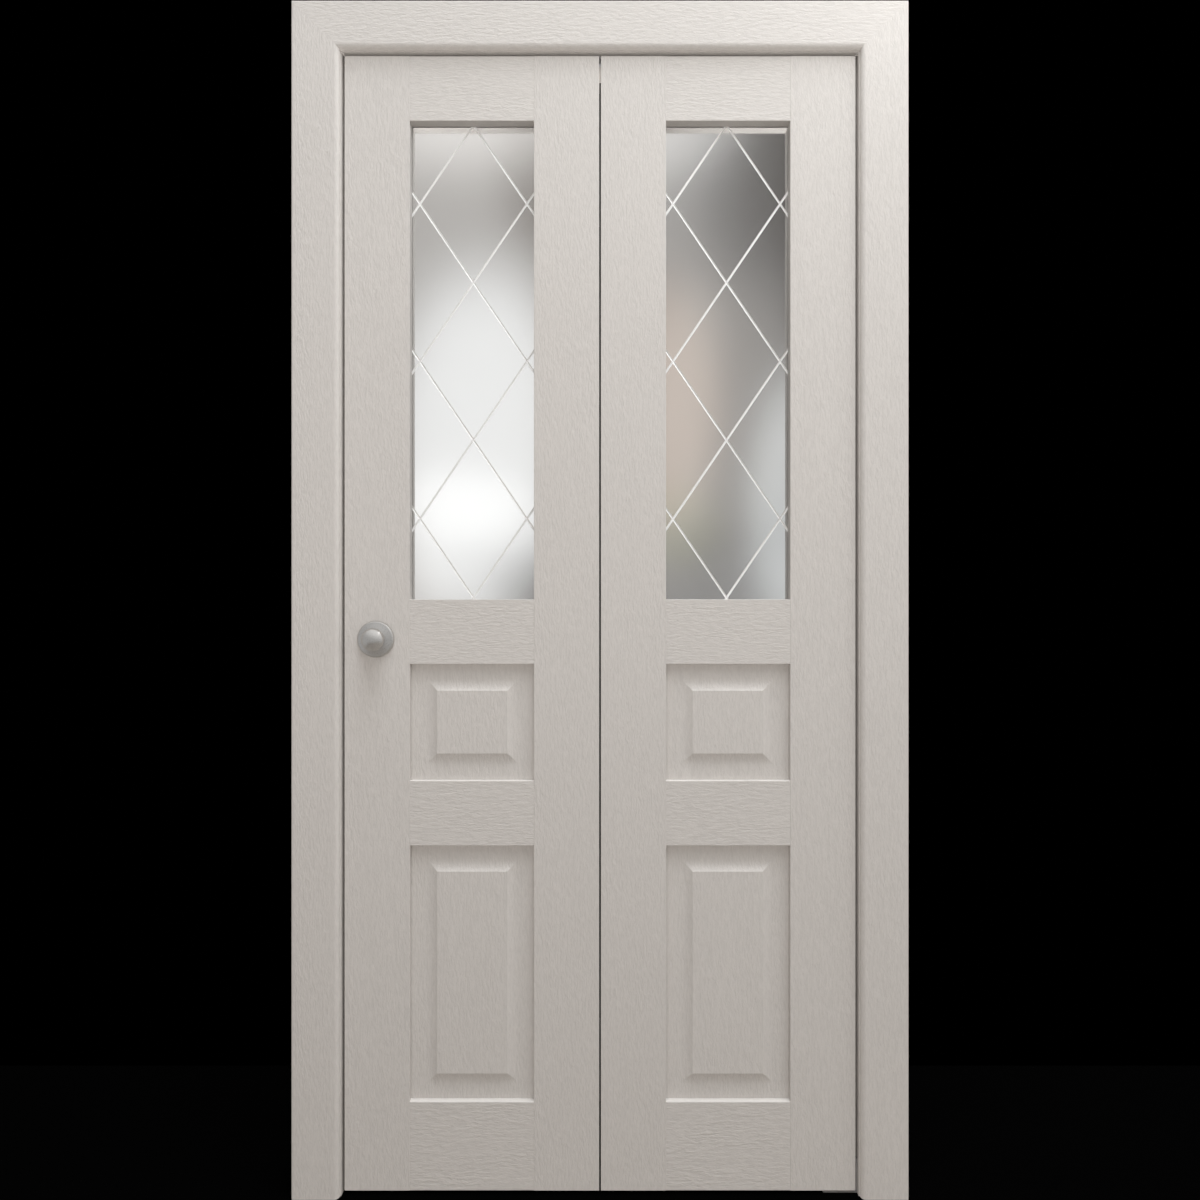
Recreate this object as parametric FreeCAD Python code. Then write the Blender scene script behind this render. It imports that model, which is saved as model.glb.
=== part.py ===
"""A two-leaf bifold door, closed, in its frame, with mitred casings on both faces of the wall.

Millimetres. The pieces are built in door coordinates: x from the centreline of the doorway,
+X to the right as seen from the front, y from the front face of the wall into the wall,
and z from the floor. The front faces of the leaves are flush with the front face of the wall.
export() moves every piece so that the origin lies on the outer face of the right jamb,
at the floor and midway through the depth of the wall.
"""
import FreeCAD, Part
import math
import os

from FreeCAD import Vector

# The two leaves and the gaps round them
leaf_width = 449.0
leaf_height = 2000.0
leaf_thickness = 38.0
meeting_gap = 3.0
side_gap = 4.5
head_gap = 4.5
floor_gap = 7.0

# Stiles and rails of a leaf, and the heights of the two panel openings
stile_width = 115.0
top_rail_height = 114.0
middle_rail_height = 114.0
lower_rail_height = 114.0
bottom_rail_height = 156.0
small_opening_height = 206.0
large_opening_height = 452.0
arris = 0.5

# What fills the openings sits in grooves in the stiles and rails
groove_bite = 8.0
groove_clearance = 0.2
tongue_thickness = 9.0

# Raised panels, alike on both faces: a flat margin runs round inside the frame,
# and a hollow bevel rises from it to a flat field
margin_width = 27.5
margin_depth = 9.5
bevel_width = 20.0
field_depth = 4.3

# Satin glass with V grooves cut in its front face, which cross as a lattice of diamonds
glass_thickness = 4.0
diamonds_per_glass = 3
diamond_half_width = 95.5
lattice_lift = 3.0
engraving_width = 4.0
engraving_depth = 1.1

# Frame
jamb_thickness = 30.0
jamb_depth = 100.0
fixing_hole_radius = 3.0
fixing_hole_from_rear = 31.0
fixing_hole_from_end = 200.0
fixing_holes_per_jamb = 3

# Casings
casing_width = 85.0
casing_thickness = 12.0
casing_lip = 1.5
casing_inner_radius = 8.5
casing_rim_radius = 3.5

# Track in the head of the frame
track_width = 26.0
track_height = 20.0
track_wall = 1.6
track_slot = 11.0
track_end_gap = 1.0

# Pivots of the hanging leaf and guide of the leading leaf
pivot_inset = 40.0
pin_radius = 4.0
pin_clearance = 0.1
pin_depth_in_leaf = 35.0
block_length = 40.0
block_height = 10.0
block_clearance = 0.2
roller_height = 8.0
pin_head_height = 1.5
bracket_thickness = 2.5
bracket_width = 30.0
bracket_leg_height = 60.0
bracket_beyond_pin = 16.0
collar_radius = 9.0

# Hinges on the back faces of the leaves, across the meeting gap
hinge_height = 76.0
hinge_wing_width = 30.0
hinge_wing_thickness = 2.0
hinge_knuckle_radius = 4.5
hinge_pin_radius = 2.2
hinge_pin_head_radius = 3.6
hinge_pin_head_height = 2.0
hinge_clearance = 0.2
hinge_knuckles = 5
hinges_from_leaf_ends = 200.0

# Seal in the meeting gap
seal_width = 10.0
seal_clearance = 0.3
seal_from_leaf_bottom = 147.0
seal_from_leaf_top = 38.0

# Knobs, one on each face of the leading leaf
knob_from_leaf_edge = 55.5
knob_from_leaf_bottom = 972.0
rosette_radius = 32.5
rosette_rim = 1.0
rosette_round = 4.5
rosette_height = 8.5
rosette_seat_radius = 16.0
knob_neck_radius = 12.5
knob_neck_length = 2.5
knob_radius = 20.0
knob_edge_radius = 8.0
knob_cap_radius = 25.0

# How far a cutting tool runs past what it cuts
overshoot = 5.0

# Places worked out from the sizes above
leaf_centre_y = leaf_thickness / 2
clear_half_width = meeting_gap / 2 + leaf_width + side_gap
leaf_bottom = floor_gap
leaf_top = leaf_bottom + leaf_height
clear_top = leaf_top + head_gap
frame_half_width = clear_half_width + jamb_thickness
frame_top = clear_top + jamb_thickness
bottom_rail_top = leaf_bottom + bottom_rail_height
large_opening_top = bottom_rail_top + large_opening_height
lower_rail_top = large_opening_top + lower_rail_height
small_opening_top = lower_rail_top + small_opening_height
middle_rail_top = small_opening_top + middle_rail_height
top_rail_bottom = leaf_top - top_rail_height
front_jamb_y = 0.0
back_jamb_y = jamb_depth
part_origin = Vector(frame_half_width, jamb_depth / 2, 0)


def export(name, shape):
    """Write one node, moved from door coordinates to the part's own origin."""
    placed = shape.copy()
    placed.translate(part_origin.negative())
    placed.exportStep("parts/" + name + ".step")


def block(x0, x1, y0, y1, z0, z1):
    """A box between two values along each axis."""
    return Part.makeBox(x1 - x0, y1 - y0, z1 - z0, Vector(x0, y0, z0))


def prism(edges, run):
    """The solid swept by a closed flat outline along a straight run."""
    return Part.Face(Part.Wire(edges)).extrude(run)


def outline(points):
    """Straight edges through the points, closed back to the first."""
    closed = points + points[:1]
    return [Part.LineSegment(a, b).toShape() for a, b in zip(closed, closed[1:])]


def arc(start, end, middle):
    """A circular edge from start to end through middle."""
    return Part.Arc(start, middle, end).toShape()


def line(start, end):
    """A straight edge."""
    return Part.LineSegment(start, end).toShape()


def cylinder(radius, height, foot, direction):
    """A round bar that starts at foot and runs along direction."""
    return Part.makeCylinder(radius, height, foot, direction)


def eased_rectangle(a0, a1, b0, b1):
    """The corners of a rectangle with its four arrises eased, as (a, b) pairs."""
    e = arris
    return [
        (a0 + e, b0), (a1 - e, b0), (a1, b0 + e), (a1, b1 - e),
        (a1 - e, b1), (a0 + e, b1), (a0, b1 - e), (a0, b0 + e),
    ]


def upright_bar(x0, x1, z0, z1):
    """A stile of the leaf's thickness, with eased arrises."""
    corners = eased_rectangle(x0, x1, 0, leaf_thickness)
    points = [Vector(x, y, z0) for x, y in corners]
    return prism(outline(points), Vector(0, 0, z1 - z0))


def level_bar(x0, x1, z0, z1):
    """A rail of the leaf's thickness, with eased arrises."""
    corners = eased_rectangle(0, leaf_thickness, z0, z1)
    points = [Vector(x0, y, z) for y, z in corners]
    return prism(outline(points), Vector(x1 - x0, 0, 0))


def mirrored_to_back(shape):
    """The same shape on the other face of a leaf."""
    return shape.mirror(Vector(0, leaf_centre_y, 0), Vector(0, 1, 0))


# Leaves

def groove_seat(x0, x1, z0, z1, thickness):
    """The room that a sheet takes in the grooves round the opening x0..x1, z0..z1."""
    reach = groove_bite + groove_clearance
    half = thickness / 2 + groove_clearance
    return block(x0 - reach, x1 + reach, leaf_centre_y - half, leaf_centre_y + half,
                 z0 - reach, z1 + reach)


def engraving(x, z, rise, half_length):
    """One V groove through (x, z) on the front face of the glass, with dz/dx = rise."""
    along = Vector(1, 0, rise)
    along.normalize()
    across = Vector(-along.z, 0, along.x)
    face_y = leaf_centre_y - glass_thickness / 2
    outside = overshoot / 2
    half = engraving_width / 2 * (engraving_depth + outside) / engraving_depth
    start = Vector(x, face_y, z) - along * half_length
    points = [
        start + across * half + Vector(0, -outside, 0),
        start - across * half + Vector(0, -outside, 0),
        start + Vector(0, engraving_depth, 0),
    ]
    return prism(outline(points), along * (2 * half_length))


def glass_sheet(x0, x1, z0, z1):
    """The satin glass of the opening x0..x1, z0..z1, with its engraved lattice."""
    half = glass_thickness / 2
    sheet = block(x0 - groove_bite, x1 + groove_bite, leaf_centre_y - half,
                  leaf_centre_y + half, z0 - groove_bite, z1 + groove_bite)
    pitch = (z1 - z0) / diamonds_per_glass
    slope = pitch / 2 / diamond_half_width
    x_middle = (x0 + x1) / 2
    half_run = math.hypot(x1 - x0, (x1 - x0) * slope)
    grooves = [
        engraving(x_middle, z0 + lattice_lift + step * pitch, rise, half_run)
        for step in range(-1, diamonds_per_glass + 2)
        for rise in (slope, -slope)
    ]
    return sheet.cut(grooves)


def raised_field_section(a0, a1, point):
    """Outline of the field and of the hollow bevels that leave the margins level, as edges."""
    base = leaf_centre_y
    foot0 = a0 + margin_width
    foot1 = a1 - margin_width
    half_turn = math.atan((margin_depth - field_depth) / bevel_width)
    radius = bevel_width / math.sin(2 * half_turn)
    middle_run = radius * math.sin(half_turn)
    middle_depth = margin_depth - radius * (1 - math.cos(half_turn))
    left_edge = arc(point(foot0, margin_depth), point(foot0 + bevel_width, field_depth),
                    point(foot0 + middle_run, middle_depth))
    right_edge = arc(point(foot1 - bevel_width, field_depth), point(foot1, margin_depth),
                     point(foot1 - middle_run, middle_depth))
    return [
        line(point(foot0, base), point(foot0, margin_depth)),
        left_edge,
        line(point(foot0 + bevel_width, field_depth), point(foot1 - bevel_width, field_depth)),
        right_edge,
        line(point(foot1, margin_depth), point(foot1, base)),
        line(point(foot1, base), point(foot0, base)),
    ]


def raised_field(x0, x1, z0, z1):
    """The field on the front of the panel of the opening, with its bevels mitred."""
    up = prism(raised_field_section(x0, x1, lambda x, y: Vector(x, y, z0)),
               Vector(0, 0, z1 - z0))
    over = prism(raised_field_section(z0, z1, lambda z, y: Vector(x0, y, z)),
                 Vector(x1 - x0, 0, 0))
    return up.common(over)


def raised_panel(x0, x1, z0, z1):
    """The panel of the opening x0..x1, z0..z1: tongue, margins, and a raised field each side."""
    half = tongue_thickness / 2
    tongue = block(x0 - groove_bite, x1 + groove_bite, leaf_centre_y - half,
                   leaf_centre_y + half, z0 - groove_bite, z1 + groove_bite)
    c = groove_clearance
    body = block(x0 + c, x1 - c, margin_depth, leaf_thickness - margin_depth, z0 + c, z1 - c)
    field = raised_field(x0, x1, z0, z1)
    return body.fuse([tongue, field, mirrored_to_back(field)]).removeSplitter()


def pin_socket(x, z0, z1):
    """The hole in a stile that takes a pivot or guide pin."""
    return cylinder(pin_radius + pin_clearance, z1 - z0, Vector(x, leaf_centre_y, z0),
                    Vector(0, 0, 1))


def leaf(name, x0, outer_stile_on_left, sockets):
    """Stiles, rails, glass and panels of the leaf whose left edge is at x0."""
    x1 = x0 + leaf_width
    open0 = x0 + stile_width
    open1 = x1 - stile_width
    glass_room = (open0, open1, middle_rail_top, top_rail_bottom)
    small_room = (open0, open1, lower_rail_top, small_opening_top)
    large_room = (open0, open1, bottom_rail_top, large_opening_top)
    glass_seat = groove_seat(*glass_room, glass_thickness)
    small_seat = groove_seat(*small_room, tongue_thickness)
    large_seat = groove_seat(*large_room, tongue_thickness)
    seats = [glass_seat, small_seat, large_seat]
    left_name, right_name = ("outer", "inner") if outer_stile_on_left else ("inner", "outer")
    stiles = {
        left_name: upright_bar(x0, open0, leaf_bottom, leaf_top),
        right_name: upright_bar(open1, x1, leaf_bottom, leaf_top),
    }
    stiles["outer"] = stiles["outer"].cut(sockets)
    for place, stile in stiles.items():
        export(name + "_" + place + "_stile", stile.cut(seats))
    rails = {
        "top": (top_rail_bottom, leaf_top),
        "middle": (small_opening_top, middle_rail_top),
        "lower": (large_opening_top, lower_rail_top),
        "bottom": (leaf_bottom, bottom_rail_top),
    }
    for place, (z0, z1) in rails.items():
        export(name + "_" + place + "_rail", level_bar(open0, open1, z0, z1).cut(seats))
    export(name + "_glass", glass_sheet(*glass_room))
    export(name + "_small_panel", raised_panel(*small_room))
    export(name + "_large_panel", raised_panel(*large_room))


def leaves():
    """The leading leaf on the left, which has the knobs, and the hanging leaf on the right."""
    top_socket = (leaf_top - pin_depth_in_leaf, leaf_top + overshoot)
    bottom_socket = (leaf_bottom - overshoot, leaf_bottom + pin_depth_in_leaf)
    leaf("leading_leaf", -meeting_gap / 2 - leaf_width, True,
         [pin_socket(guide_x(), *top_socket)])
    leaf("hanging_leaf", meeting_gap / 2, False,
         [pin_socket(pivot_x(), *top_socket), pin_socket(pivot_x(), *bottom_socket)])


def pivot_x():
    """Where the hanging leaf's pivot pins stand."""
    return meeting_gap / 2 + leaf_width - pivot_inset


def guide_x():
    """Where the leading leaf's guide pin stands."""
    return -pivot_x()


# Frame and casings

def fixing_heights():
    """Heights of the fixing holes in a jamb, evenly spaced."""
    low = fixing_hole_from_end
    high = frame_top - fixing_hole_from_end
    steps = fixing_holes_per_jamb - 1
    return [low + (high - low) * i / steps for i in range(fixing_holes_per_jamb)]


def jamb(side):
    """An upright jamb, on the left for side -1 and on the right for side 1."""
    x_inner = side * clear_half_width
    x_outer = side * frame_half_width
    post = block(min(x_inner, x_outer), max(x_inner, x_outer), front_jamb_y, back_jamb_y,
                 0, frame_top)
    y = back_jamb_y - fixing_hole_from_rear
    foot_x = min(x_inner, x_outer) - overshoot
    holes = [
        cylinder(fixing_hole_radius, jamb_thickness + 2 * overshoot, Vector(foot_x, y, z),
                 Vector(1, 0, 0))
        for z in fixing_heights()
    ]
    return post.cut(holes)


def track_recess():
    """The groove in the head jamb that the track is let into."""
    half = track_width / 2
    return block(-frame_half_width, frame_half_width, leaf_centre_y - half,
                 leaf_centre_y + half, clear_top - overshoot, clear_top + track_height)


def head_jamb():
    """The head of the frame, between the jambs."""
    bar = block(-clear_half_width, clear_half_width, front_jamb_y, back_jamb_y,
                clear_top, frame_top)
    return bar.cut(track_recess())


def head_track():
    """The channel in the head jamb, open below along a slot between two lips."""
    x_end = clear_half_width - track_end_gap
    y = leaf_centre_y
    shell = block(-x_end, x_end, y - track_width / 2, y + track_width / 2,
                  clear_top, clear_top + track_height)
    room = block(-x_end, x_end, y - track_width / 2 + track_wall,
                 y + track_width / 2 - track_wall, clear_top + track_wall,
                 clear_top + track_height - track_wall)
    slot = block(-x_end, x_end, y - track_slot / 2, y + track_slot / 2,
                 clear_top - overshoot, clear_top + track_height / 2)
    return shell.cut([room, slot])


def casing_section(point):
    """Outline of a casing: point(u, v) places u from the doorway and v out from the wall."""
    round_start = casing_thickness - casing_inner_radius
    round_end = casing_lip + casing_inner_radius
    turn = math.sqrt(0.5)
    inner_middle = point(round_end - casing_inner_radius * turn,
                         round_start + casing_inner_radius * turn)
    rim_x = casing_width - casing_rim_radius
    rim_y = casing_thickness - casing_rim_radius
    rim_middle = point(rim_x + casing_rim_radius * turn, rim_y + casing_rim_radius * turn)
    return [
        line(point(0, 0), point(0, round_start)),
        line(point(0, round_start), point(casing_lip, round_start)),
        arc(point(casing_lip, round_start), point(round_end, casing_thickness), inner_middle),
        line(point(round_end, casing_thickness), point(rim_x, casing_thickness)),
        arc(point(rim_x, casing_thickness), point(casing_width, rim_y), rim_middle),
        line(point(casing_width, rim_y), point(casing_width, 0)),
        line(point(casing_width, 0), point(0, 0)),
    ]


def mitre_wedge(side, above):
    """What a mitre takes off: above the diagonal from a side casing, below it from the head."""
    reach = casing_width + overshoot
    near = Vector(side * clear_half_width, -reach, clear_top)
    far = near + Vector(side * reach, 0, reach)
    corner = near + (Vector(0, 0, reach) if above else Vector(side * reach, 0, 0))
    return prism(outline([near, far, corner]), Vector(0, jamb_depth + 2 * reach, 0))


def side_casing(side, wall_y, outwards):
    """An upright casing on the wall face at wall_y, facing outwards (-1 front, 1 rear)."""
    def place(u, v):
        return Vector(side * (clear_half_width + u), wall_y + outwards * v, 0)
    bar = prism(casing_section(place), Vector(0, 0, clear_top + casing_width))
    return bar.cut(mitre_wedge(side, above=True))


def head_casing(wall_y, outwards):
    """The casing over the doorway on the wall face at wall_y."""
    x_end = clear_half_width + casing_width

    def place(u, v):
        return Vector(-x_end, wall_y + outwards * v, clear_top + u)
    bar = prism(casing_section(place), Vector(2 * x_end, 0, 0))
    return bar.cut([mitre_wedge(-1, above=False), mitre_wedge(1, above=False)])


def frame():
    """Jambs, head, track and both sets of casings."""
    export("jamb_left", jamb(-1))
    export("jamb_right", jamb(1))
    export("head_jamb", head_jamb())
    export("head_track", head_track())
    faces = {"front": (front_jamb_y, -1), "rear": (back_jamb_y, 1)}
    for face, (wall_y, outwards) in faces.items():
        export("casing_" + face + "_left", side_casing(-1, wall_y, outwards))
        export("casing_" + face + "_right", side_casing(1, wall_y, outwards))
        export("casing_" + face + "_head", head_casing(wall_y, outwards))


# Hardware

def pivots_and_guide():
    """What carries the hanging leaf at its two ends, and what guides the leading leaf."""
    up = Vector(0, 0, 1)
    lip_top = clear_top + track_wall
    inner_half = track_width / 2 - track_wall - block_clearance
    bore = pin_radius + pin_clearance

    pin_foot = leaf_top - pin_depth_in_leaf
    block_top = lip_top + block_height
    bearing = block(pivot_x() - block_length / 2, pivot_x() + block_length / 2,
                    leaf_centre_y - inner_half, leaf_centre_y + inner_half, lip_top, block_top)
    top_axis = Vector(pivot_x(), leaf_centre_y, pin_foot)
    export("top_pivot_block", bearing.cut(cylinder(bore, block_top - pin_foot + overshoot,
                                                   top_axis, up)))
    export("top_pivot_pin", cylinder(pin_radius, block_top + pin_head_height - pin_foot,
                                     top_axis, up))

    guide_axis = Vector(guide_x(), leaf_centre_y, pin_foot)
    roller_foot = Vector(guide_x(), leaf_centre_y, lip_top)
    roller = cylinder(inner_half, roller_height, roller_foot, up)
    roller_top = lip_top + roller_height
    export("guide_roller", roller.cut(cylinder(bore, roller_height + 2 * overshoot,
                                               roller_foot - up * overshoot, up)))
    export("guide_pin", cylinder(pin_radius, roller_top + pin_head_height - pin_foot,
                                 guide_axis, up))

    y0 = leaf_centre_y - bracket_width / 2
    y1 = leaf_centre_y + bracket_width / 2
    plate = block(pivot_x() - bracket_beyond_pin, clear_half_width, y0, y1,
                  0, bracket_thickness)
    leg = block(clear_half_width - bracket_thickness, clear_half_width, y0, y1,
                0, bracket_leg_height)
    export("bottom_pivot_bracket", plate.fuse(leg).removeSplitter())
    foot = Vector(pivot_x(), leaf_centre_y, bracket_thickness)
    collar = cylinder(collar_radius, leaf_bottom - bracket_thickness, foot, up)
    shank = cylinder(pin_radius, leaf_bottom + pin_depth_in_leaf - bracket_thickness, foot, up)
    export("bottom_pivot_pin", collar.fuse(shank).removeSplitter())


def hinge(z0):
    """A butt hinge whose wings lie on the backs of both leaves, from z0 up, as three solids."""
    up = Vector(0, 0, 1)
    axis_y = leaf_thickness + hinge_knuckle_radius
    knuckle = hinge_height / hinge_knuckles
    gap = hinge_clearance
    pin_hole = cylinder(hinge_pin_radius + gap, hinge_height + 2 * overshoot,
                        Vector(0, axis_y, z0 - overshoot), up)
    solids = []
    for side in (-1, 1):
        wing = block(min(0, side * hinge_wing_width), max(0, side * hinge_wing_width),
                     leaf_thickness, leaf_thickness + hinge_wing_thickness,
                     z0, z0 + hinge_height)
        own = [i for i in range(hinge_knuckles) if (i % 2 == 0) == (side < 0)]
        others = [i for i in range(hinge_knuckles) if i not in own]
        barrels = [
            cylinder(hinge_knuckle_radius, knuckle - gap,
                     Vector(0, axis_y, z0 + i * knuckle + gap / 2), up)
            for i in own
        ]
        room = hinge_knuckle_radius + gap
        notches = [
            block(-room, room, leaf_thickness - overshoot, axis_y + room,
                  z0 + i * knuckle - gap / 2, z0 + (i + 1) * knuckle + gap / 2)
            for i in others
        ]
        plate = wing.cut(notches)
        solids.append(plate.fuse(barrels).cut(pin_hole).removeSplitter())
    foot = Vector(0, axis_y, z0 - hinge_pin_head_height)
    pin = cylinder(hinge_pin_radius, hinge_height + 2 * hinge_pin_head_height, foot, up)
    heads = [
        cylinder(hinge_pin_head_radius, hinge_pin_head_height, foot, up),
        cylinder(hinge_pin_head_radius, hinge_pin_head_height,
                 Vector(0, axis_y, z0 + hinge_height), up),
    ]
    solids.append(pin.fuse(heads).removeSplitter())
    return Part.makeCompound(solids)


def hinges():
    """Three hinges across the meeting gap: near both ends of the leaves and midway."""
    low = leaf_bottom + hinges_from_leaf_ends
    high = leaf_top - hinges_from_leaf_ends - hinge_height
    export("hinge_bottom", hinge(low))
    export("hinge_middle", hinge((low + high) / 2))
    export("hinge_top", hinge(high))


def meeting_seal():
    """The dark strip on the inner edge of the hanging leaf, which closes the meeting gap."""
    return block(-meeting_gap / 2 + seal_clearance, meeting_gap / 2,
                 leaf_centre_y - seal_width / 2, leaf_centre_y + seal_width / 2,
                 leaf_bottom + seal_from_leaf_bottom, leaf_top - seal_from_leaf_top)


def turned(edges, centre):
    """The solid turned by a closed outline round the axis through centre, along Y."""
    return Part.Face(Part.Wire(edges)).revolve(centre, Vector(0, 1, 0), 360)


def knob_set():
    """The rosette and the knob on the front face, each turned about one axis."""
    x = -meeting_gap / 2 - leaf_width + knob_from_leaf_edge
    z = leaf_bottom + knob_from_leaf_bottom
    centre = Vector(x, 0, z)

    def at(radius, out):
        return Vector(x + radius, -out, z)

    face_radius = rosette_radius - rosette_round
    face_out = rosette_rim + rosette_round
    turn = math.sqrt(0.5)
    round_middle = at(face_radius + rosette_round * turn, rosette_rim + rosette_round * turn)
    rosette = turned([
        line(at(0, 0), at(rosette_radius, 0)),
        line(at(rosette_radius, 0), at(rosette_radius, rosette_rim)),
        arc(at(rosette_radius, rosette_rim), at(face_radius, face_out), round_middle),
        line(at(face_radius, face_out), at(rosette_seat_radius, rosette_height)),
        line(at(rosette_seat_radius, rosette_height), at(0, rosette_height)),
        line(at(0, rosette_height), at(0, 0)),
    ], centre)

    neck_end = rosette_height + knob_neck_length
    edge_middle = knob_radius - knob_edge_radius
    edge_run = math.sqrt(knob_edge_radius ** 2 - (knob_neck_radius - edge_middle) ** 2)
    edge_out = neck_end + edge_run
    lean = math.asin(edge_middle / (knob_cap_radius - knob_edge_radius))
    cap_out = edge_out - edge_middle / math.tan(lean)

    def on_cap(angle):
        return at(knob_cap_radius * math.sin(angle), cap_out + knob_cap_radius * math.cos(angle))
    knob = turned([
        line(at(0, rosette_height), at(knob_neck_radius, rosette_height)),
        line(at(knob_neck_radius, rosette_height), at(knob_neck_radius, neck_end)),
        arc(at(knob_neck_radius, neck_end), on_cap(lean), at(knob_radius, edge_out)),
        arc(on_cap(lean), on_cap(0), on_cap(lean / 2)),
        line(on_cap(0), at(0, rosette_height)),
    ], centre)
    return rosette, knob


def knobs():
    """A knob on its rosette on each face of the leading leaf."""
    rosette, knob = knob_set()
    export("knob_rosette_front", rosette)
    export("knob_front", knob)
    export("knob_rosette_rear", mirrored_to_back(rosette))
    export("knob_rear", mirrored_to_back(knob))


frame()
leaves()
pivots_and_guide()
hinges()
export("meeting_seal", meeting_seal())
knobs()
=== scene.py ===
"""The looks of a closed two-leaf bifold door in its frame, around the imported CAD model."""

import math

import bpy
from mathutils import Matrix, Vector

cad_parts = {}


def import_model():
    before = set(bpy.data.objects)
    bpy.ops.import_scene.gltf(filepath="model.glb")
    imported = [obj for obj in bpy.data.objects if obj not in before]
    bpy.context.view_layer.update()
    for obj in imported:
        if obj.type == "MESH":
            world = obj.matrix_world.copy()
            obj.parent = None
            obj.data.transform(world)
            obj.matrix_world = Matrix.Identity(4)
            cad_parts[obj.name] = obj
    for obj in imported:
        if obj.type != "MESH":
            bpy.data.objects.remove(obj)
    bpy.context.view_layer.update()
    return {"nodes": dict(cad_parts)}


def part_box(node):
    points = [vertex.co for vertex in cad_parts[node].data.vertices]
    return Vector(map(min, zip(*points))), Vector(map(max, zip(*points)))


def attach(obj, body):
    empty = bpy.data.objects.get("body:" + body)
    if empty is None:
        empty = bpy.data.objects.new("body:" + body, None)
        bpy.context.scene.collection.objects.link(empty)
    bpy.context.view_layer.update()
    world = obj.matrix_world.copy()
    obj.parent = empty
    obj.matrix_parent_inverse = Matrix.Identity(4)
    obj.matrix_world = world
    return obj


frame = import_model()
nodes = frame["nodes"]

# Places in the frame, in metres, worked out from the CAD pieces
leading_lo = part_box("leading_leaf_outer_stile")[0]
hanging_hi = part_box("hanging_leaf_outer_stile")[1]
DOOR_X = (leading_lo.x + hanging_hi.x) / 2
FACE_Y = leading_lo.y
LEAF_BOTTOM = leading_lo.z

# Camera: level, on the door's centreline, this far in front of the leaves
CAMERA_DISTANCE = 1.300
CAMERA_ABOVE_LEAF_BOTTOM = 1.041
FOCAL_SHARE = 0.6145      # focal length over the width of the picture
SENSOR_WIDTH = 36.0       # millimetres
CLIP_START = 0.01

# Light from all round: its strength, what is added from below, and where all of that is added
WORLD_ALL = 0.235
WORLD_DOWN = 0.85
WORLD_DOWN_AT = -0.9      # height of a direction, from -1 straight down to 1 straight up
WORLD_COLOUR = (1.0, 0.96, 0.92)

# Lamps: name, place and aim across from the door's centreline, behind the leaves' front faces and
# above the floor, width, height, watts, colour, whether glossy surfaces show it, spread in degrees.
# The glint makes the bright spot on the knob. The low lamps behind light the inner edges of the
# glass openings, which show through the panes.
LAMPS = (
    ("key", (0.5, -1.2, 3.3), (0.1, 0, 1.4), 1.6, 0.8, 20.0, (0.95, 0.985, 1.0), False, 180),
    ("corner", (0.66, -0.36, 2.25), (0.5, 0, 2.0), 0.08, 0.08, 0.35, (1, 1, 1), False, 180),
    ("glint", (1.23, -0.54, 2.94), (-0.4, 0, 0.98), 0.34, 0.34, 3.0, (1, 1, 1), True, 180),
    ("ceiling", (0.5, -1.4, 8.0), (0, 0, 1.0), 3.0, 2.0, 390.0, (0.93, 0.965, 1.0), False, 180),
    ("front", (-0.4, -1.9, 1.15), (-0.1, 0, 1.1), 2.0, 0.6, 8.6, (1.0, 0.95, 0.915), False, 180),
    ("side", (2.2, -0.8, 1.7), (0.1, 0, 1.2), 1.0, 2.0, 11.5, (1, 1, 1), False, 180),
    ("behind", (0.7, 2.2, 2.6), (0, 0, 1.1), 1.8, 1.4, 40.0, (1, 1, 1), False, 180),
    ("behind_low_left", (-0.33, 0.95, 0.1), (-0.33, 0, 2.0), 0.35, 0.3, 0.42, (1, 1, 1), False, 15),
    ("behind_low_right", (0.33, 0.95, 0.1), (0.33, 0, 2.0), 0.35, 0.3, 0.42, (1, 1, 1), False, 15),
)

# Colours, linear
FOIL_COLOUR = (0.635, 0.604, 0.574)
FLOOR_COLOUR = (0.40, 0.37, 0.34)
FLOOR_SEEN_COLOUR = (0.0008, 0.0008, 0.0008)
FLOOR_UNSEEN_BY_METAL = 0.20      # how far the floor's image in glossy surfaces is darkened
NICKEL_COLOUR = (0.60, 0.585, 0.565)
STEEL_COLOUR = (0.55, 0.55, 0.56)
ALUMINIUM_COLOUR = (0.68, 0.68, 0.69)
NYLON_COLOUR = (0.80, 0.80, 0.76)
RUBBER_COLOUR = (0.030, 0.029, 0.028)


# Node helpers

def new_material(name):
    """An empty node material with its output and Principled shader, linked."""
    material = bpy.data.materials.new(name)
    material.use_nodes = True
    tree = material.node_tree
    tree.nodes.clear()
    output = tree.nodes.new("ShaderNodeOutputMaterial")
    shader = tree.nodes.new("ShaderNodeBsdfPrincipled")
    tree.links.new(shader.outputs["BSDF"], output.inputs["Surface"])
    return material, tree, shader


def stretched(tree, vector, scale, offset=(0, 0, 0)):
    """A vector scaled along each axis and shifted."""
    mapping = tree.nodes.new("ShaderNodeMapping")
    mapping.inputs["Scale"].default_value = scale
    mapping.inputs["Location"].default_value = offset
    tree.links.new(vector, mapping.inputs["Vector"])
    return mapping.outputs["Vector"]


def object_coordinates(tree, scale=(1, 1, 1), offset=(0, 0, 0)):
    """Object coordinates in metres, scaled along each axis and shifted."""
    coordinates = tree.nodes.new("ShaderNodeTexCoord")
    return stretched(tree, coordinates.outputs["Object"], scale, offset)


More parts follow.
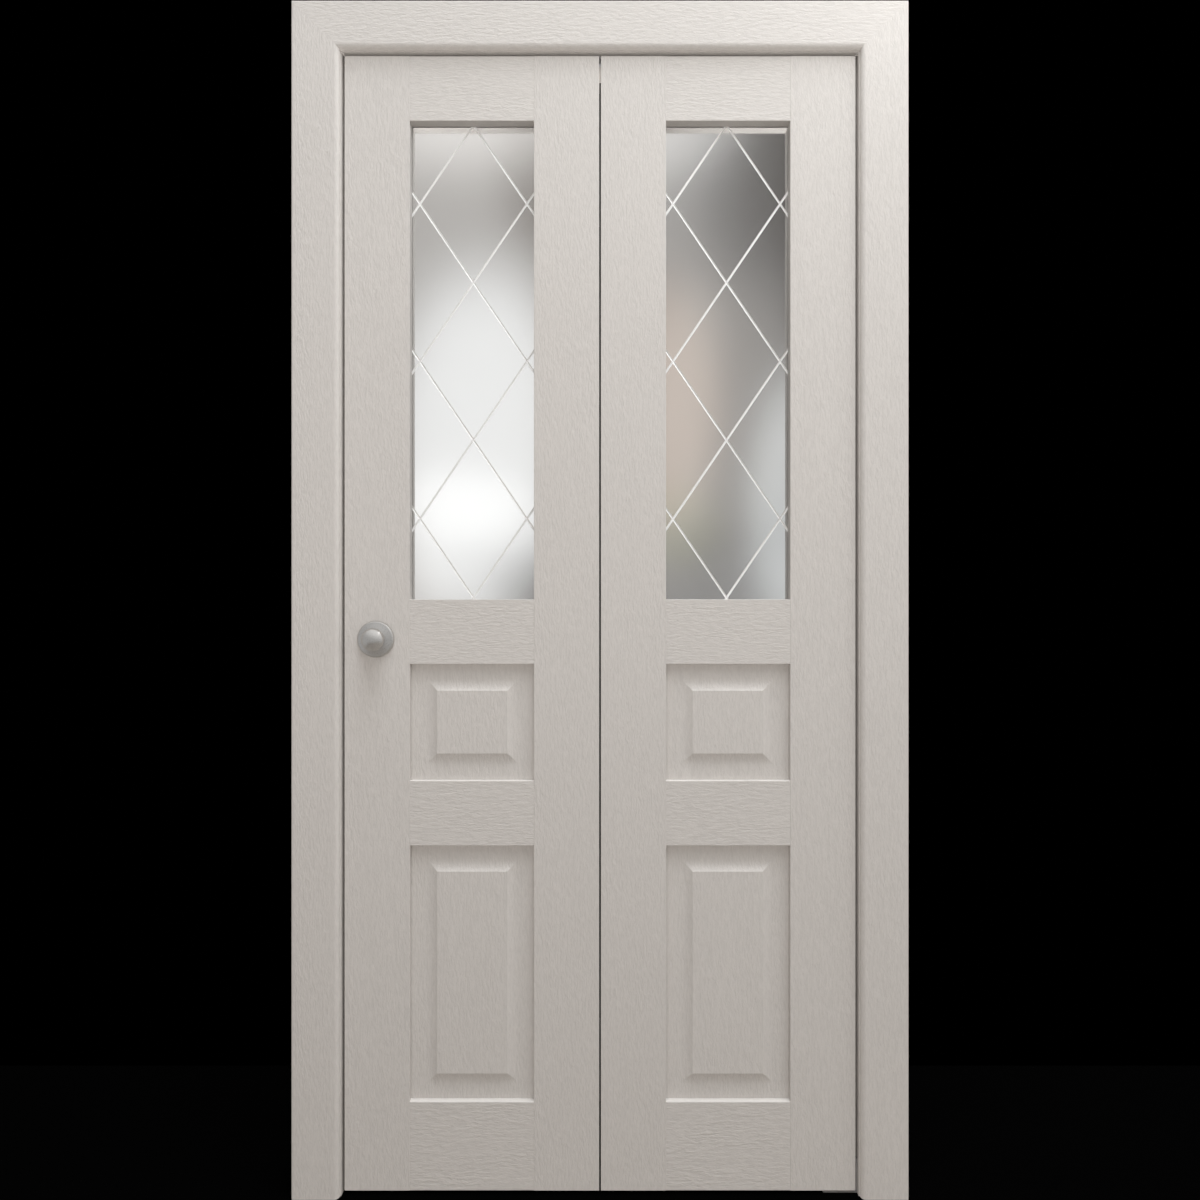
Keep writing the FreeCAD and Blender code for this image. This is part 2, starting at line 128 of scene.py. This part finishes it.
def noise(tree, vector, scale=1.0, detail=2.0, roughness=0.5, distortion=0.0):
    """The value of a noise texture at a vector."""
    texture = tree.nodes.new("ShaderNodeTexNoise")
    texture.inputs["Scale"].default_value = scale
    texture.inputs["Detail"].default_value = detail
    texture.inputs["Roughness"].default_value = roughness
    texture.inputs["Distortion"].default_value = distortion
    tree.links.new(vector, texture.inputs["Vector"])
    return texture.outputs["Fac"]


def math_node(tree, operation, a, b):
    """A math node on two values, each a socket or a number."""
    node = tree.nodes.new("ShaderNodeMath")
    node.operation = operation
    for socket, value in zip(node.inputs, (a, b)):
        if isinstance(value, (int, float)):
            socket.default_value = value
        else:
            tree.links.new(value, socket)
    return node.outputs["Value"]


def remap(tree, value, low, high, to_low, to_high):
    """A value mapped from one range to another, clamped."""
    node = tree.nodes.new("ShaderNodeMapRange")
    for name, number in (("From Min", low), ("From Max", high),
                         ("To Min", to_low), ("To Max", to_high)):
        node.inputs[name].default_value = number
    tree.links.new(value, node.inputs["Value"])
    return node.outputs["Result"]


MIX_COLOUR_A, MIX_COLOUR_B, MIX_COLOUR_RESULT = 6, 7, 2      # sockets of a Mix node for colours


def mix_colour(tree, factor, a, b):
    """A mix of two colours, each a socket or a linear RGB triple."""
    node = tree.nodes.new("ShaderNodeMix")
    node.data_type = "RGBA"
    tree.links.new(factor, node.inputs["Factor"])
    for index, value in ((MIX_COLOUR_A, a), (MIX_COLOUR_B, b)):
        socket = node.inputs[index]
        if isinstance(value, tuple):
            socket.default_value = (*value, 1.0)
        else:
            tree.links.new(value, socket)
    return node.outputs[MIX_COLOUR_RESULT]


def scaled(colour, factor):
    """A colour made lighter or darker."""
    return tuple(c * factor for c in colour)


def bump(tree, height, strength, distance):
    """A bump normal from a height value."""
    node = tree.nodes.new("ShaderNodeBump")
    node.inputs["Strength"].default_value = strength
    node.inputs["Distance"].default_value = distance
    tree.links.new(height, node.inputs["Height"])
    return node.outputs["Normal"]


# Materials

# Foil: features a metre, along the grain and across it
STREAKS = (68.0, 255.0)               # embossed streaks
PORES = (240.0, 1300.0)               # fine pores
FIGURE = (7.0, 34.0)                  # bands where the streaks are strong or weak
WAVES = (14.0, 26.0)                  # how the streaks wander
WAVE_REACH = 0.006                    # metres from side to side
STREAK_WEAK, STREAK_STRONG = 0.65, 1.15
STREAK_RANGE = (0.32, 0.68)           # values of the noise that count as lowest and highest
PORE_RANGE = (0.30, 0.60)
FIGURE_RANGE = (0.35, 0.65)
ROUGHNESS_RANGE = (0.3, 0.7)
EMBOSS_DEPTH = 0.00037
PORE_HEIGHT = 0.30                    # over the height of the streaks
STREAK_TONE, PORE_TONE = 0.6, 0.4     # their shares in the tone
FOIL_DARK, FOIL_PALE = 0.935, 1.045   # over the foil's colour
FOIL_ROUGH, FOIL_SMOOTH = 0.60, 0.50
FOIL_SPECULAR = 0.35
SEED_STEP = (3.7, 1.3, 2.9)           # how far the textures move from one seed to the next


def grain_scale(features, level):
    """Scales for the three axes, with the grain along X or along Z."""
    along, across = features
    return (along, across, across) if level else (across, across, along)


def seed_shift(seed):
    """The place in the textures that belongs to a seed."""
    return tuple(seed * step for step in SEED_STEP)


def wandering(tree, seed, level):
    """Object coordinates shifted a little to and fro across the grain."""
    wave = noise(tree, object_coordinates(tree, grain_scale(WAVES, level), seed_shift(seed)),
                 detail=1.0, roughness=0.4)
    push = math_node(tree, "MULTIPLY", math_node(tree, "SUBTRACT", wave, 0.5), WAVE_REACH)
    coordinates = tree.nodes.new("ShaderNodeTexCoord")
    split = tree.nodes.new("ShaderNodeSeparateXYZ")
    join = tree.nodes.new("ShaderNodeCombineXYZ")
    tree.links.new(coordinates.outputs["Object"], split.inputs["Vector"])
    for axis in "XYZ":
        value = split.outputs[axis]
        if axis == ("Z" if level else "X"):
            value = math_node(tree, "ADD", value, push)
        tree.links.new(value, join.inputs[axis])
    return join.outputs["Vector"]


def foil(name, level, seed):
    """Embossed ash foil, with its grain level or upright."""
    material, tree, shader = new_material(name)
    shift = seed_shift(seed)
    place = wandering(tree, seed, level)
    streaks = noise(tree, stretched(tree, place, grain_scale(STREAKS, level), shift),
                    detail=2.0, roughness=0.55, distortion=0.35)
    pores = noise(tree, stretched(tree, place, grain_scale(PORES, level), shift), detail=1.0)
    figure = noise(tree, stretched(tree, place, grain_scale(FIGURE, level), shift))
    ridge = remap(tree, streaks, *STREAK_RANGE, 0.0, 1.0)
    pore = remap(tree, pores, *PORE_RANGE, 0.0, 1.0)
    strong = remap(tree, figure, *FIGURE_RANGE, STREAK_WEAK, STREAK_STRONG)
    height = math_node(tree, "MULTIPLY", math_node(tree, "SUBTRACT", ridge, 0.5), strong)
    height = math_node(tree, "ADD", height, math_node(tree, "MULTIPLY", pore, PORE_HEIGHT))
    tree.links.new(bump(tree, height, 1.0, EMBOSS_DEPTH), shader.inputs["Normal"])
    tone = math_node(tree, "ADD", math_node(tree, "MULTIPLY", ridge, STREAK_TONE),
                     math_node(tree, "MULTIPLY", pore, PORE_TONE))
    colour = mix_colour(tree, tone, scaled(FOIL_COLOUR, FOIL_DARK), scaled(FOIL_COLOUR, FOIL_PALE))
    tree.links.new(colour, shader.inputs["Base Color"])
    tree.links.new(remap(tree, pores, *ROUGHNESS_RANGE, FOIL_ROUGH, FOIL_SMOOTH),
                   shader.inputs["Roughness"])
    shader.inputs["Specular IOR Level"].default_value = FOIL_SPECULAR
    return material


MARK_DEPTH = 0.0002                   # of the marks in metal and plastic, before their strength
METAL_DARK, METAL_PALE = 0.95, 1.05
METAL_SMOOTHER, METAL_ROUGHER = 0.04, 0.05
METAL_MARKS = 0.05
PLASTIC_DARK, PLASTIC_PALE = 0.93, 1.07
PLASTIC_FEATURES = 1800.0             # a metre
PLASTIC_MARKS = 0.15


def metal(name, colour, roughness, brush_scale):
    """Metal with a faint brushed or rolled texture."""
    material, tree, shader = new_material(name)
    marks = noise(tree, object_coordinates(tree, brush_scale))
    colour_out = mix_colour(tree, marks, scaled(colour, METAL_DARK), scaled(colour, METAL_PALE))
    tree.links.new(colour_out, shader.inputs["Base Color"])
    tree.links.new(remap(tree, marks, *ROUGHNESS_RANGE, roughness - METAL_SMOOTHER,
                         roughness + METAL_ROUGHER), shader.inputs["Roughness"])
    tree.links.new(bump(tree, marks, METAL_MARKS, MARK_DEPTH), shader.inputs["Normal"])
    shader.inputs["Metallic"].default_value = 1.0
    return material


def plastic(name, colour, roughness):
    """Plain moulded plastic or rubber with a fine texture."""
    material, tree, shader = new_material(name)
    marks = noise(tree, object_coordinates(tree), PLASTIC_FEATURES)
    colour_out = mix_colour(tree, marks, scaled(colour, PLASTIC_DARK),
                            scaled(colour, PLASTIC_PALE))
    tree.links.new(colour_out, shader.inputs["Base Color"])
    tree.links.new(bump(tree, marks, PLASTIC_MARKS, MARK_DEPTH), shader.inputs["Normal"])
    shader.inputs["Roughness"].default_value = roughness
    return material


GLASS_CLEAR, GROOVE_CLEAR = 0.95, 0.15          # how much light the glass lets through
GLASS_ROUGHNESS, GROOVE_ROUGHNESS = 0.17, 0.25
SHEET_DARK, SHEET_PALE = (0.90, 0.905, 0.90), (0.94, 0.945, 0.94)
GROOVE_COLOUR = (0.95, 0.95, 0.94)
GROOVE_NEAR, GROOVE_FAR = 0.00004, 0.0013       # where a groove lies, behind the glass's front face
GLASS_IOR = 1.5
ETCH_FEATURES = 1600.0                          # a metre
ETCH_MARKS, ETCH_DEPTH = 0.10, 0.0001


def satin_glass(name, front_y):
    """Satin glass seen through as a blur, with the cut grooves whiter and much less clear."""
    material, tree, shader = new_material(name)
    split = tree.nodes.new("ShaderNodeSeparateXYZ")
    coordinates = tree.nodes.new("ShaderNodeTexCoord")
    tree.links.new(coordinates.outputs["Object"], split.inputs["Vector"])
    behind = math_node(tree, "GREATER_THAN", split.outputs["Y"], front_y + GROOVE_NEAR)
    before = math_node(tree, "LESS_THAN", split.outputs["Y"], front_y + GROOVE_FAR)
    groove = math_node(tree, "MULTIPLY", behind, before)
    etch = noise(tree, object_coordinates(tree), ETCH_FEATURES)
    sheet = mix_colour(tree, etch, SHEET_DARK, SHEET_PALE)
    tree.links.new(mix_colour(tree, groove, sheet, GROOVE_COLOUR), shader.inputs["Base Color"])
    clear = remap(tree, groove, 0.0, 1.0, GLASS_CLEAR, GROOVE_CLEAR)
    tree.links.new(clear, shader.inputs["Transmission Weight"])
    tree.links.new(remap(tree, groove, 0.0, 1.0, GLASS_ROUGHNESS, GROOVE_ROUGHNESS),
                   shader.inputs["Roughness"])
    tree.links.new(bump(tree, etch, ETCH_MARKS, ETCH_DEPTH), shader.inputs["Normal"])
    shader.inputs["IOR"].default_value = GLASS_IOR
    return material


def give(node, material):
    """Put one material on the whole of a CAD node."""
    mesh = nodes[node].data
    mesh.materials.clear()
    mesh.materials.append(material)


UPRIGHT = ("outer_stile", "inner_stile", "small_panel", "large_panel")
LEVEL = ("top_rail", "middle_rail", "lower_rail", "bottom_rail")

# Pieces in foil, whether their grain is level, and the seed of the first, so that no two match
FOIL_PIECES = (
    ([f"leading_leaf_{piece}" for piece in UPRIGHT], False, 1),
    ([f"leading_leaf_{piece}" for piece in LEVEL], True, 5),
    ([f"hanging_leaf_{piece}" for piece in UPRIGHT], False, 11),
    ([f"hanging_leaf_{piece}" for piece in LEVEL], True, 15),
    (["jamb_left", "jamb_right", "casing_front_left", "casing_front_right", "casing_rear_left",
      "casing_rear_right"], False, 21),
    (["head_jamb", "casing_front_head", "casing_rear_head"], True, 31),
)
for pieces, level, first_seed in FOIL_PIECES:
    for step, piece in enumerate(pieces):
        give(piece, foil(f"foil_{piece}", level, first_seed + step))

glass = satin_glass("satin_glass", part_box("leading_leaf_glass")[0].y)
for piece in ("leading_leaf_glass", "hanging_leaf_glass"):
    give(piece, glass)
nickel = metal("satin_nickel", NICKEL_COLOUR, roughness=0.30, brush_scale=(900, 900, 900))
for piece in ("knob_rosette_front", "knob_front", "knob_rosette_rear", "knob_rear"):
    give(piece, nickel)
steel = metal("hinge_steel", STEEL_COLOUR, roughness=0.36, brush_scale=(300, 300, 2400))
for piece in ("hinge_top", "hinge_middle", "hinge_bottom", "top_pivot_pin",
              "bottom_pivot_pin", "bottom_pivot_bracket", "guide_pin"):
    give(piece, steel)
give("head_track", metal("track_aluminium", ALUMINIUM_COLOUR, roughness=0.38,
                         brush_scale=(20, 2500, 2500)))
nylon = plastic("nylon", NYLON_COLOUR, roughness=0.5)
give("top_pivot_block", nylon)
give("guide_roller", nylon)
give("meeting_seal", plastic("seal_rubber", RUBBER_COLOUR, roughness=0.75))


# Screw heads and caps

SIDES = 24                  # of every turned form
SUNK = 0.0003               # how far a head or cap reaches into what it sits on

# Outlines from the foot up and then inwards, as shares of the radius and of the height
HEAD_OUTLINE = ((1.0, 0.4), (0.92, 0.75), (0.74, 1.0))
CAP_OUTLINE = ((1.0, 0.45), (0.95, 0.85), (0.84, 1.0), (0.62, 0.94), (0.30, 0.78))
CAP_MIDDLE = 0.74
RECESS_TOP, RECESS_FLOOR = 0.52, 0.46       # reach of the cross's arms, over the head's radius
RECESS_MIDDLE = 0.36                        # where the arms meet, over their reach
ARM_SIDES = SIDES // 4                      # to each arm of the cross
RECESS_UP, RECESS_DOWN = 0.35, 0.0002       # its floor: a share of the height, less this


def ring(radius, height):
    """A plain ring of a turned form."""
    return [(radius, height)] * SIDES


def rings_of(outline, radius, height):
    """The rings of a turned form, from its sunk foot upwards."""
    return [ring(radius, -SUNK)] + [ring(r * radius, h * height) for r, h in outline]


def cross_ring(radius, height):
    """The outline of a cross recess, its arms as long as the radius."""
    arm_tip = (0, ARM_SIDES - 1)
    return [(radius if i % ARM_SIDES in arm_tip else RECESS_MIDDLE * radius, height)
            for i in range(SIDES)]


def turned(rings, middle, place, axis):
    """Points and faces of a form turned about an axis, closed at its top by a middle point."""
    turn = Vector(axis).to_track_quat("Z", "Y")
    points, faces = [], []
    for shape in rings:
        for i, (radius, height) in enumerate(shape):
            angle = math.tau * (i + 0.5) / SIDES
            spoke = Vector((radius * math.cos(angle), radius * math.sin(angle), height))
            points.append(Vector(place) + turn @ spoke)
    for level in range(len(rings) - 1):
        for i in range(SIDES):
            j = (i + 1) % SIDES
            below, above = level * SIDES, (level + 1) * SIDES
            faces.append((below + i, below + j, above + j, above + i))
    points.append(Vector(place) + turn @ Vector((0, 0, middle)))
    last = (len(rings) - 1) * SIDES
    for i in range(SIDES):
        faces.append((last + i, last + (i + 1) % SIDES, len(points) - 1))
    return points, faces


def screw_head(place, axis, radius, height):
    """A low domed head with a cross recess."""
    floor_height = RECESS_UP * height - RECESS_DOWN
    rings = rings_of(HEAD_OUTLINE, radius, height)
    rings.append(cross_ring(RECESS_TOP * radius, height))
    rings.append(cross_ring(RECESS_FLOOR * radius, floor_height))
    return turned(rings, floor_height, place, axis)


def cover_cap(place, axis, radius, height):
    """A shallow cap with a rounded rim and a dished middle."""
    return turned(rings_of(CAP_OUTLINE, radius, height), CAP_MIDDLE * height, place, axis)


def detail(name, forms, material, slot):
    """One piece out of several turned forms, fixed to the frame."""
    points, faces = [], []
    for form_points, form_faces in forms:
        start = len(points)
        points.extend(form_points)
        faces.extend(tuple(start + i for i in face) for face in form_faces)
    mesh = bpy.data.meshes.new(name)
    mesh.from_pydata(points, [], faces)
    mesh.materials.append(material)
    piece = bpy.data.objects.new(name, mesh)
    bpy.context.scene.collection.objects.link(piece)
    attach(piece, "root")


# Radius and height of each kind, and how thick the metal is under the screws
HINGE_SCREW, HINGE_WING = (0.0038, 0.0009), 0.002
BRACKET_SCREW, BRACKET_PLATE = (0.0040, 0.0016), 0.0025
TRACK_SCREW, TRACK_WALL = (0.0038, 0.0016), 0.0016
CAP = (0.0068, 0.0017)

HINGE_HOLES = ((0.022, 0.026), (0.014, 0.0), (0.022, -0.026))     # across and up from the middle
for node in ("hinge_top", "hinge_middle", "hinge_bottom"):
    lo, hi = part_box(node)
    middle = (lo + hi) / 2
    heads = []
    for side in (-1, 1):
        for across, up in HINGE_HOLES:
            place = (middle.x + side * across, lo.y + HINGE_WING, middle.z + up)
            heads.append(screw_head(place, (0, 1, 0), *HINGE_SCREW))
    detail(f"{node}_screws", heads, steel, "hinge_steel")

WALL_HOLE_DOWN, WALL_HOLE_ACROSS = 0.014, 0.008     # from the bracket's top and middle
FOOT_HOLE_OUT, FOOT_HOLE_ACROSS = 0.022, 0.009      # from the jamb and the middle
lo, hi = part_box("bottom_pivot_bracket")
bracket_y = (lo.y + hi.y) / 2
heads = []
for side in (-1, 1):
    heads.append(screw_head((hi.x - BRACKET_PLATE, bracket_y + side * WALL_HOLE_ACROSS,
                             hi.z - WALL_HOLE_DOWN), (-1, 0, 0), *BRACKET_SCREW))
    heads.append(screw_head((hi.x - FOOT_HOLE_OUT, bracket_y + side * FOOT_HOLE_ACROSS,
                             BRACKET_PLATE), (0, 0, 1), *BRACKET_SCREW))
detail("bottom_pivot_bracket_screws", heads, steel, "pivot_steel")

TRACK_HOLES_FROM_END = (0.15, 0.30)
lo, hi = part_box("head_track")
track_middle = (lo + hi) / 2
hole_places = [lo.x + reach for reach in TRACK_HOLES_FROM_END]
hole_places.append(track_middle.x)
hole_places.extend(hi.x - reach for reach in reversed(TRACK_HOLES_FROM_END))
heads = [screw_head((x, track_middle.y, hi.z - TRACK_WALL), (0, 0, -1), *TRACK_SCREW)
         for x in hole_places]
detail("head_track_screws", heads, steel, "pivot_steel")

FIXING_Y, FIXING_FROM_END = 0.019, 0.200
frame_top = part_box("head_jamb")[1].z
cap_material = plastic("cap_plastic", FOIL_COLOUR, roughness=0.45)
for node, side in (("jamb_left", 1), ("jamb_right", -1)):
    lo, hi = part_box(node)
    inner_x = hi.x if side > 0 else lo.x
    caps = [cover_cap((inner_x, FIXING_Y, z), (side, 0, 0), *CAP)
            for z in (FIXING_FROM_END, frame_top / 2, frame_top - FIXING_FROM_END)]
    detail(f"{node}_fixing_caps", caps, cap_material, "frame_foil")


# Stage

FLOOR_ROUGHNESS = 0.9
FLOOR_ACROSS = 1.7                              # reach to each side of the door's centreline
FLOOR_IN_FRONT, FLOOR_BEHIND = 2.4, 0.36        # reach from the leaves' front faces


def stage_material(name):
    """A plain matt floor that lights the door from below and looks black to the camera."""
    material, tree, shader = new_material(name)
    path = tree.nodes.new("ShaderNodeLightPath")
    glossy = math_node(tree, "MULTIPLY", path.outputs["Is Glossy Ray"], FLOOR_UNSEEN_BY_METAL)
    seen = math_node(tree, "MAXIMUM", path.outputs["Is Camera Ray"], glossy)
    tree.links.new(mix_colour(tree, seen, FLOOR_COLOUR, FLOOR_SEEN_COLOUR),
                   shader.inputs["Base Color"])
    shader.inputs["Roughness"].default_value = FLOOR_ROUGHNESS
    shader.inputs["Specular IOR Level"].default_value = 0.0
    return material


def floor():
    """A pale floor under the door, mostly in front of it."""
    left, right = DOOR_X - FLOOR_ACROSS, DOOR_X + FLOOR_ACROSS
    front, behind = FACE_Y - FLOOR_IN_FRONT, FACE_Y + FLOOR_BEHIND
    corners = [(left, front, 0.0), (right, front, 0.0), (right, behind, 0.0), (left, behind, 0.0)]
    mesh = bpy.data.meshes.new("floor")
    mesh.from_pydata(corners, [], [(0, 1, 2, 3)])
    mesh.materials.append(stage_material("floor"))
    piece = bpy.data.objects.new("floor", mesh)
    bpy.context.scene.collection.objects.link(piece)


def from_door(place):
    """The place in the frame of one given from the door's centreline and the leaves' faces."""
    across, behind, up = place
    return Vector((DOOR_X + across, FACE_Y + behind, up))


def area_light(name, place, aim, width, height, power, colour, shines, spread):
    """A rectangular lamp turned towards a point, shining within its spread."""
    lamp = bpy.data.lights.new(name, "AREA")
    lamp.shape = "RECTANGLE"
    lamp.size = width
    lamp.size_y = height
    lamp.energy = power
    lamp.color = colour
    lamp.spread = math.radians(spread)
    piece = bpy.data.objects.new(name, lamp)
    piece.location = from_door(place)
    piece.visible_glossy = shines
    piece.visible_transmission = False
    ray = from_door(aim) - from_door(place)
    piece.rotation_euler = ray.to_track_quat("-Z", "Y").to_euler()
    bpy.context.scene.collection.objects.link(piece)


# The room that shows through the glass from the front: its own light, and soft places in it that
# are brighter or darker: across, up (both as a share of the distance ahead), half width, half
# height, and the light added
ROOM_LIGHT = (0.118, 0.109, 0.103)
ROOM_PLACES = (
    (-0.24, 0.40, 0.30, 0.80, (0.30, 0.283, 0.268)),
    (-0.16, 0.21, 0.165, 0.32, (0.57, 0.595, 0.612)),
    (-0.19, 0.125, 0.13, 0.065, (0.27, 0.27, 0.27)),
    (-0.09, 0.02, 0.08, 0.06, (-0.30, -0.30, -0.30)),
    (-0.26, 0.02, 0.08, 0.08, (0.20, 0.20, 0.20)),
    (-0.17, 0.76, 0.30, 0.22, (0.58, 0.57, 0.56)),
    (0.08, 0.72, 0.17, 0.18, (0.62, 0.61, 0.60)),
    (0.07, 0.32, 0.12, 0.42, (0.22, 0.21, 0.20)),
    (0.07, 0.27, 0.12, 0.22, (0.16, 0.09, 0.05)),
    (0.17, 0.26, 0.14, 0.24, (0.15, 0.14, 0.13)),
    (0.28, 0.125, 0.10, 0.25, (0.455, 0.48, 0.49)),
    (-0.07, 0.58, 0.09, 0.14, (-0.22, -0.22, -0.22)),
    (0.27, 0.60, 0.11, 0.20, (-0.09, -0.09, -0.09)),
    (0.21, 0.00, 0.17, 0.09, (0.11, 0.11, 0.11)),
    (0.10, 0.10, 0.08, 0.07, (0.04, 0.05, 0.00)),
)
# The grey that glossy surfaces show, and the glass from behind: lower down and overhead
GREY_LOW, GREY_HIGH = 0.50, 1.05
GREY_FROM, GREY_TO = 0.05, 0.9      # heights of a direction between which it rises
GREY_RIGHT = 0.35                   # how much a direction to the right counts as one upwards
ROOM_LEAST_AHEAD = 0.05             # keeps sideways directions from being divided by nothing
ROOM_FROM, ROOM_TO = 0.0, 0.2       # how far ahead a direction points where the room sets in
SOFT_EDGE, SOFT_CORE = 1.0, 0.5     # where a soft place ends and is full, over its half sizes


def soft_place(tree, plane, across, up, half_width, half_height):
    """How near a direction is to the middle of a soft oval place, from 0 to 1."""
    mapping = tree.nodes.new("ShaderNodeMapping")
    mapping.inputs["Location"].default_value = (-across / half_width, -up / half_height, 0)
    mapping.inputs["Scale"].default_value = (1 / half_width, 1 / half_height, 0)
    tree.links.new(plane, mapping.inputs["Vector"])
    length = tree.nodes.new("ShaderNodeVectorMath")
    length.operation = "LENGTH"
    tree.links.new(mapping.outputs["Vector"], length.inputs[0])
    near = tree.nodes.new("ShaderNodeMapRange")
    near.interpolation_type = "SMOOTHERSTEP"
    near.inputs["From Min"].default_value = SOFT_EDGE
    near.inputs["From Max"].default_value = SOFT_CORE
    tree.links.new(length.outputs["Value"], near.inputs["Value"])
    return near.outputs["Result"]


def vector_node(tree, operation, a, b):
    """A vector math node on two vectors, each a socket or a triple."""
    node = tree.nodes.new("ShaderNodeVectorMath")
    node.operation = operation
    for socket, value in zip(node.inputs, (a, b)):
        if isinstance(value, tuple):
            socket.default_value = value
        else:
            tree.links.new(value, socket)
    return node.outputs["Vector"]


def room(tree, split):
    """The colour that glossy and clear surfaces show, by direction."""
    through = tree.nodes.new("ShaderNodeLightPath").outputs["Is Transmission Ray"]
    plane = tree.nodes.new("ShaderNodeCombineXYZ")
    ahead = math_node(tree, "MAXIMUM", split.outputs["Y"], ROOM_LEAST_AHEAD)
    for axis, into in (("X", "X"), ("Z", "Y")):
        tree.links.new(math_node(tree, "DIVIDE", split.outputs[axis], ahead), plane.inputs[into])
    colour = ROOM_LIGHT
    for across, up, half_width, half_height, light in ROOM_PLACES:
        near = soft_place(tree, plane.outputs["Vector"], across, up, half_width, half_height)
        added = vector_node(tree, "MULTIPLY", near, light)
        colour = vector_node(tree, "ADD", added, colour)
    room_share = math_node(tree, "MULTIPLY", through,
                           remap(tree, split.outputs["Y"], ROOM_FROM, ROOM_TO, 0.0, 1.0))
    right = math_node(tree, "MULTIPLY", split.outputs["X"], GREY_RIGHT)
    level = remap(tree, math_node(tree, "ADD", split.outputs["Z"], right), GREY_FROM, GREY_TO,
                  GREY_LOW, GREY_HIGH)
    grey = tree.nodes.new("ShaderNodeCombineXYZ")
    for axis in "XYZ":
        tree.links.new(level, grey.inputs[axis])
    return mix_colour(tree, room_share, grey.outputs["Vector"], colour)


def mix_shader(tree, factor, a, b):
    """A mix of two shaders."""
    node = tree.nodes.new("ShaderNodeMixShader")
    for index, socket in enumerate((factor, a, b)):
        tree.links.new(socket, node.inputs[index])
    return node.outputs["Shader"]


def world():
    """Light from all round, more from below, with the room for glossy and clear surfaces.

    The camera sees it black.
    """
    scene_world = bpy.data.worlds.new("studio")
    bpy.context.scene.world = scene_world
    scene_world.use_nodes = True
    tree = scene_world.node_tree
    tree.nodes.clear()
    output = tree.nodes.new("ShaderNodeOutputWorld")
    coordinates = tree.nodes.new("ShaderNodeTexCoord")
    split = tree.nodes.new("ShaderNodeSeparateXYZ")
    tree.links.new(coordinates.outputs["Generated"], split.inputs["Vector"])
    ground = remap(tree, split.outputs["Z"], WORLD_DOWN_AT, 0.0, WORLD_DOWN, 0.0)
    strength = math_node(tree, "ADD", ground, WORLD_ALL)
    lighting = tree.nodes.new("ShaderNodeBackground")
    tree.links.new(strength, lighting.inputs["Strength"])
    lighting.inputs["Color"].default_value = (*WORLD_COLOUR, 1)
    shown = tree.nodes.new("ShaderNodeBackground")
    tree.links.new(room(tree, split), shown.inputs["Color"])
    black = tree.nodes.new("ShaderNodeBackground")
    black.inputs["Color"].default_value = (0, 0, 0, 1)
    path = tree.nodes.new("ShaderNodeLightPath")
    glossy_or_clear = math_node(tree, "MAXIMUM", path.outputs["Is Glossy Ray"],
                                path.outputs["Is Transmission Ray"])
    unseen = mix_shader(tree, glossy_or_clear, lighting.outputs["Background"],
                        shown.outputs["Background"])
    surface = mix_shader(tree, path.outputs["Is Camera Ray"], unseen, black.outputs["Background"])
    tree.links.new(surface, output.inputs["Surface"])


def camera():
    """The photograph's view: level and square on, close to the door."""
    data = bpy.data.cameras.new("camera")
    data.sensor_fit = "HORIZONTAL"
    data.sensor_width = SENSOR_WIDTH
    data.lens = FOCAL_SHARE * SENSOR_WIDTH
    data.clip_start = CLIP_START
    piece = bpy.data.objects.new("camera", data)
    piece.location = (DOOR_X, FACE_Y - CAMERA_DISTANCE, LEAF_BOTTOM + CAMERA_ABOVE_LEAF_BOTTOM)
    piece.rotation_euler = (math.radians(90), 0, 0)
    bpy.context.scene.collection.objects.link(piece)
    bpy.context.scene.camera = piece


floor()
world()
for lamp_values in LAMPS:
    area_light(*lamp_values)
camera()
bpy.context.scene.view_settings.view_transform = "Standard"
